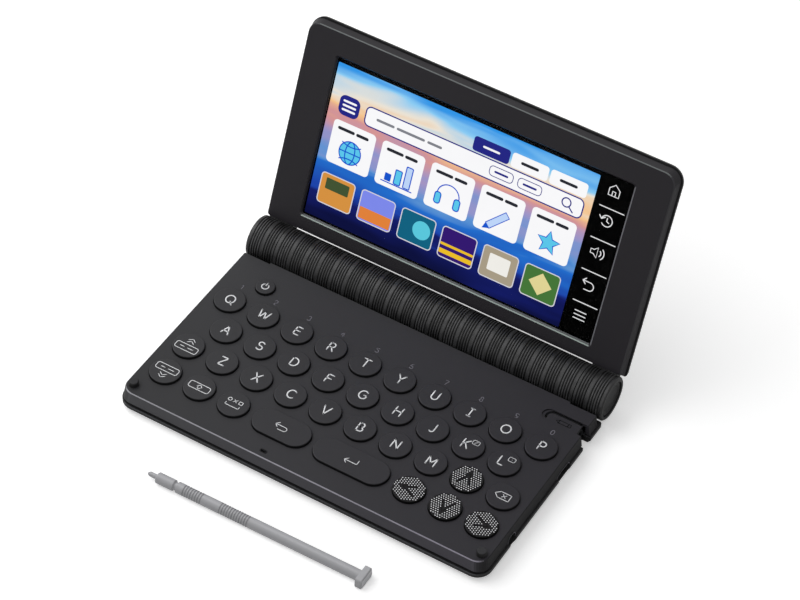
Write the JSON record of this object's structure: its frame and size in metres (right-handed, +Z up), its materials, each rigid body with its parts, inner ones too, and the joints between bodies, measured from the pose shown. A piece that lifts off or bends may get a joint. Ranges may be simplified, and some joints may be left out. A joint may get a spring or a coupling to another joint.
{
  "type": "electronic dictionary",
  "caption": "Pocket electronic dictionary: keyboard base with round keys, ribbed barrel hinge with cells inside, tilting lid with display and touch strip, and a separate stylus.",
  "frame": {"origin": "on the table, under the middle of the whole set: the opened dictionary and the stylus in front of it", "axes": "+X to the right along the hinge barrel, +Y towards the back (the display side), +Z up"},
  "size_m": [0.149, 0.153, 0.0896],
  "materials": {
    "deck_plastic": "fine satin moulding grain",
    "tray_plastic": "leather-like moulding grain",
    "barrel_plastic": "satin, turned grooves",
    "bezel_plastic": "satin",
    "cap_plastic": "satin",
    "key_plastic": "satin with white print",
    "arrow_print": "light grey dot print on black",
    "inner_plastic": "plain moulding",
    "silicone": "matte silicone",
    "rubber": "matte",
    "steel": "plated",
    "nickel": "nickel plate",
    "cell_jacket": "plain metallic jacket",
    "board": "solder mask",
    "display": "lit picture",
    "touch_glass": "gloss glass with a black border",
    "stylus_plastic": "satin"
  },
  "bodies": {
    "base": {"upper_case": "deck_plastic", "lower_case": "tray_plastic", "barrel_sleeve": "barrel_plastic", "cells": "cell_jacket", "battery_contacts": "nickel", "hinge_pins": "steel", "main_board": "board", "key_sheet": "silicone", "stylus_tube": "inner_plastic", "speaker": "inner_plastic", "rubber_feet": "rubber", "lid_bumpers": "rubber", "case_screws": "steel"},
    "lid": {"lid_bezel": "bezel_plastic", "lid_cover": "tray_plastic", "hinge_knuckles": "barrel_plastic", "knuckle_caps": "cap_plastic", "display_panel": "display", "touch_glass": "touch_glass"},
    "battery_cover": {"battery_cover": "barrel_plastic"},
    "stylus": {"stylus": "stylus_plastic"},
    "key_power": {"key_power": "key_plastic"},
    "key_q": {"key_q": "key_plastic"},
    "key_w": {"key_w": "key_plastic"},
    "key_e": {"key_e": "key_plastic"},
    "key_r": {"key_r": "key_plastic"},
    "key_t": {"key_t": "key_plastic"},
    "key_y": {"key_y": "key_plastic"},
    "key_u": {"key_u": "key_plastic"},
    "key_i": {"key_i": "key_plastic"},
    "key_o": {"key_o": "key_plastic"},
    "key_p": {"key_p": "key_plastic"},
    "key_a": {"key_a": "key_plastic"},
    "key_s": {"key_s": "key_plastic"},
    "key_d": {"key_d": "key_plastic"},
    "key_f": {"key_f": "key_plastic"},
    "key_g": {"key_g": "key_plastic"},
    "key_h": {"key_h": "key_plastic"},
    "key_j": {"key_j": "key_plastic"},
    "key_k": {"key_k": "key_plastic"},
    "key_l": {"key_l": "key_plastic"},
    "key_previous": {"key_previous": "key_plastic"},
    "key_z": {"key_z": "key_plastic"},
    "key_x": {"key_x": "key_plastic"},
    "key_c": {"key_c": "key_plastic"},
    "key_v": {"key_v": "key_plastic"},
    "key_b": {"key_b": "key_plastic"},
    "key_n": {"key_n": "key_plastic"},
    "key_m": {"key_m": "key_plastic"},
    "key_arrow_up": {"key_arrow_up": "arrow_print"},
    "key_delete": {"key_delete": "key_plastic"},
    "key_next": {"key_next": "key_plastic"},
    "key_shift": {"key_shift": "key_plastic"},
    "key_space": {"key_space": "key_plastic"},
    "key_arrow_left": {"key_arrow_left": "arrow_print"},
    "key_arrow_down": {"key_arrow_down": "arrow_print"},
    "key_arrow_right": {"key_arrow_right": "arrow_print"},
    "key_back": {"key_back": "key_plastic"},
    "key_enter": {"key_enter": "key_plastic"}
  },
  "joints": [
    {"name": "lid_hinge", "type": "hinge", "parent": "base", "child": "lid", "pos_m": [0, 0.03745, 0.0088], "axis": [-1, 0, 0], "range_deg": [-110.8, 29.2]},
    {"name": "battery_cover_slide", "type": "slide", "parent": "base", "child": "battery_cover", "axis": [0, 1, 0], "range_m": [0, 0.026]},
    {"name": "stylus_lift", "type": "slide", "parent": "base", "child": "stylus", "axis": [0, 0, 1], "range_m": [0, 0.06]},
    {"name": "key_power_press", "type": "slide", "parent": "base", "child": "key_power", "axis": [0, 0, -1], "range_m": [0, 0.0008], "stiffness_N_per_m": 700},
    {"name": "key_q_press", "type": "slide", "parent": "base", "child": "key_q", "axis": [0, 0, -1], "range_m": [0, 0.0008], "stiffness_N_per_m": 700},
    {"name": "key_w_press", "type": "slide", "parent": "base", "child": "key_w", "axis": [0, 0, -1], "range_m": [0, 0.0008], "stiffness_N_per_m": 700},
    {"name": "key_e_press", "type": "slide", "parent": "base", "child": "key_e", "axis": [0, 0, -1], "range_m": [0, 0.0008], "stiffness_N_per_m": 700},
    {"name": "key_r_press", "type": "slide", "parent": "base", "child": "key_r", "axis": [0, 0, -1], "range_m": [0, 0.0008], "stiffness_N_per_m": 700},
    {"name": "key_t_press", "type": "slide", "parent": "base", "child": "key_t", "axis": [0, 0, -1], "range_m": [0, 0.0008], "stiffness_N_per_m": 700},
    {"name": "key_y_press", "type": "slide", "parent": "base", "child": "key_y", "axis": [0, 0, -1], "range_m": [0, 0.0008], "stiffness_N_per_m": 700},
    {"name": "key_u_press", "type": "slide", "parent": "base", "child": "key_u", "axis": [0, 0, -1], "range_m": [0, 0.0008], "stiffness_N_per_m": 700},
    {"name": "key_i_press", "type": "slide", "parent": "base", "child": "key_i", "axis": [0, 0, -1], "range_m": [0, 0.0008], "stiffness_N_per_m": 700},
    {"name": "key_o_press", "type": "slide", "parent": "base", "child": "key_o", "axis": [0, 0, -1], "range_m": [0, 0.0008], "stiffness_N_per_m": 700},
    {"name": "key_p_press", "type": "slide", "parent": "base", "child": "key_p", "axis": [0, 0, -1], "range_m": [0, 0.0008], "stiffness_N_per_m": 700},
    {"name": "key_a_press", "type": "slide", "parent": "base", "child": "key_a", "axis": [0, 0, -1], "range_m": [0, 0.0008], "stiffness_N_per_m": 700},
    {"name": "key_s_press", "type": "slide", "parent": "base", "child": "key_s", "axis": [0, 0, -1], "range_m": [0, 0.0008], "stiffness_N_per_m": 700},
    {"name": "key_d_press", "type": "slide", "parent": "base", "child": "key_d", "axis": [0, 0, -1], "range_m": [0, 0.0008], "stiffness_N_per_m": 700},
    {"name": "key_f_press", "type": "slide", "parent": "base", "child": "key_f", "axis": [0, 0, -1], "range_m": [0, 0.0008], "stiffness_N_per_m": 700},
    {"name": "key_g_press", "type": "slide", "parent": "base", "child": "key_g", "axis": [0, 0, -1], "range_m": [0, 0.0008], "stiffness_N_per_m": 700},
    {"name": "key_h_press", "type": "slide", "parent": "base", "child": "key_h", "axis": [0, 0, -1], "range_m": [0, 0.0008], "stiffness_N_per_m": 700},
    {"name": "key_j_press", "type": "slide", "parent": "base", "child": "key_j", "axis": [0, 0, -1], "range_m": [0, 0.0008], "stiffness_N_per_m": 700},
    {"name": "key_k_press", "type": "slide", "parent": "base", "child": "key_k", "axis": [0, 0, -1], "range_m": [0, 0.0008], "stiffness_N_per_m": 700},
    {"name": "key_l_press", "type": "slide", "parent": "base", "child": "key_l", "axis": [0, 0, -1], "range_m": [0, 0.0008], "stiffness_N_per_m": 700},
    {"name": "key_previous_press", "type": "slide", "parent": "base", "child": "key_previous", "axis": [0, 0, -1], "range_m": [0, 0.0008], "stiffness_N_per_m": 700},
    {"name": "key_z_press", "type": "slide", "parent": "base", "child": "key_z", "axis": [0, 0, -1], "range_m": [0, 0.0008], "stiffness_N_per_m": 700},
    {"name": "key_x_press", "type": "slide", "parent": "base", "child": "key_x", "axis": [0, 0, -1], "range_m": [0, 0.0008], "stiffness_N_per_m": 700},
    {"name": "key_c_press", "type": "slide", "parent": "base", "child": "key_c", "axis": [0, 0, -1], "range_m": [0, 0.0008], "stiffness_N_per_m": 700},
    {"name": "key_v_press", "type": "slide", "parent": "base", "child": "key_v", "axis": [0, 0, -1], "range_m": [0, 0.0008], "stiffness_N_per_m": 700},
    {"name": "key_b_press", "type": "slide", "parent": "base", "child": "key_b", "axis": [0, 0, -1], "range_m": [0, 0.0008], "stiffness_N_per_m": 700},
    {"name": "key_n_press", "type": "slide", "parent": "base", "child": "key_n", "axis": [0, 0, -1], "range_m": [0, 0.0008], "stiffness_N_per_m": 700},
    {"name": "key_m_press", "type": "slide", "parent": "base", "child": "key_m", "axis": [0, 0, -1], "range_m": [0, 0.0008], "stiffness_N_per_m": 700},
    {"name": "key_arrow_up_press", "type": "slide", "parent": "base", "child": "key_arrow_up", "axis": [0, 0, -1], "range_m": [0, 0.0008], "stiffness_N_per_m": 700},
    {"name": "key_delete_press", "type": "slide", "parent": "base", "child": "key_delete", "axis": [0, 0, -1], "range_m": [0, 0.0008], "stiffness_N_per_m": 700},
    {"name": "key_next_press", "type": "slide", "parent": "base", "child": "key_next", "axis": [0, 0, -1], "range_m": [0, 0.0008], "stiffness_N_per_m": 700},
    {"name": "key_shift_press", "type": "slide", "parent": "base", "child": "key_shift", "axis": [0, 0, -1], "range_m": [0, 0.0008], "stiffness_N_per_m": 700},
    {"name": "key_space_press", "type": "slide", "parent": "base", "child": "key_space", "axis": [0, 0, -1], "range_m": [0, 0.0008], "stiffness_N_per_m": 700},
    {"name": "key_arrow_left_press", "type": "slide", "parent": "base", "child": "key_arrow_left", "axis": [0, 0, -1], "range_m": [0, 0.0008], "stiffness_N_per_m": 700},
    {"name": "key_arrow_down_press", "type": "slide", "parent": "base", "child": "key_arrow_down", "axis": [0, 0, -1], "range_m": [0, 0.0008], "stiffness_N_per_m": 700},
    {"name": "key_arrow_right_press", "type": "slide", "parent": "base", "child": "key_arrow_right", "axis": [0, 0, -1], "range_m": [0, 0.0008], "stiffness_N_per_m": 700},
    {"name": "key_back_press", "type": "slide", "parent": "base", "child": "key_back", "axis": [0, 0, -1], "range_m": [0, 0.0008], "stiffness_N_per_m": 700},
    {"name": "key_enter_press", "type": "slide", "parent": "base", "child": "key_enter", "axis": [0, 0, -1], "range_m": [0, 0.0008], "stiffness_N_per_m": 700}
  ]
}
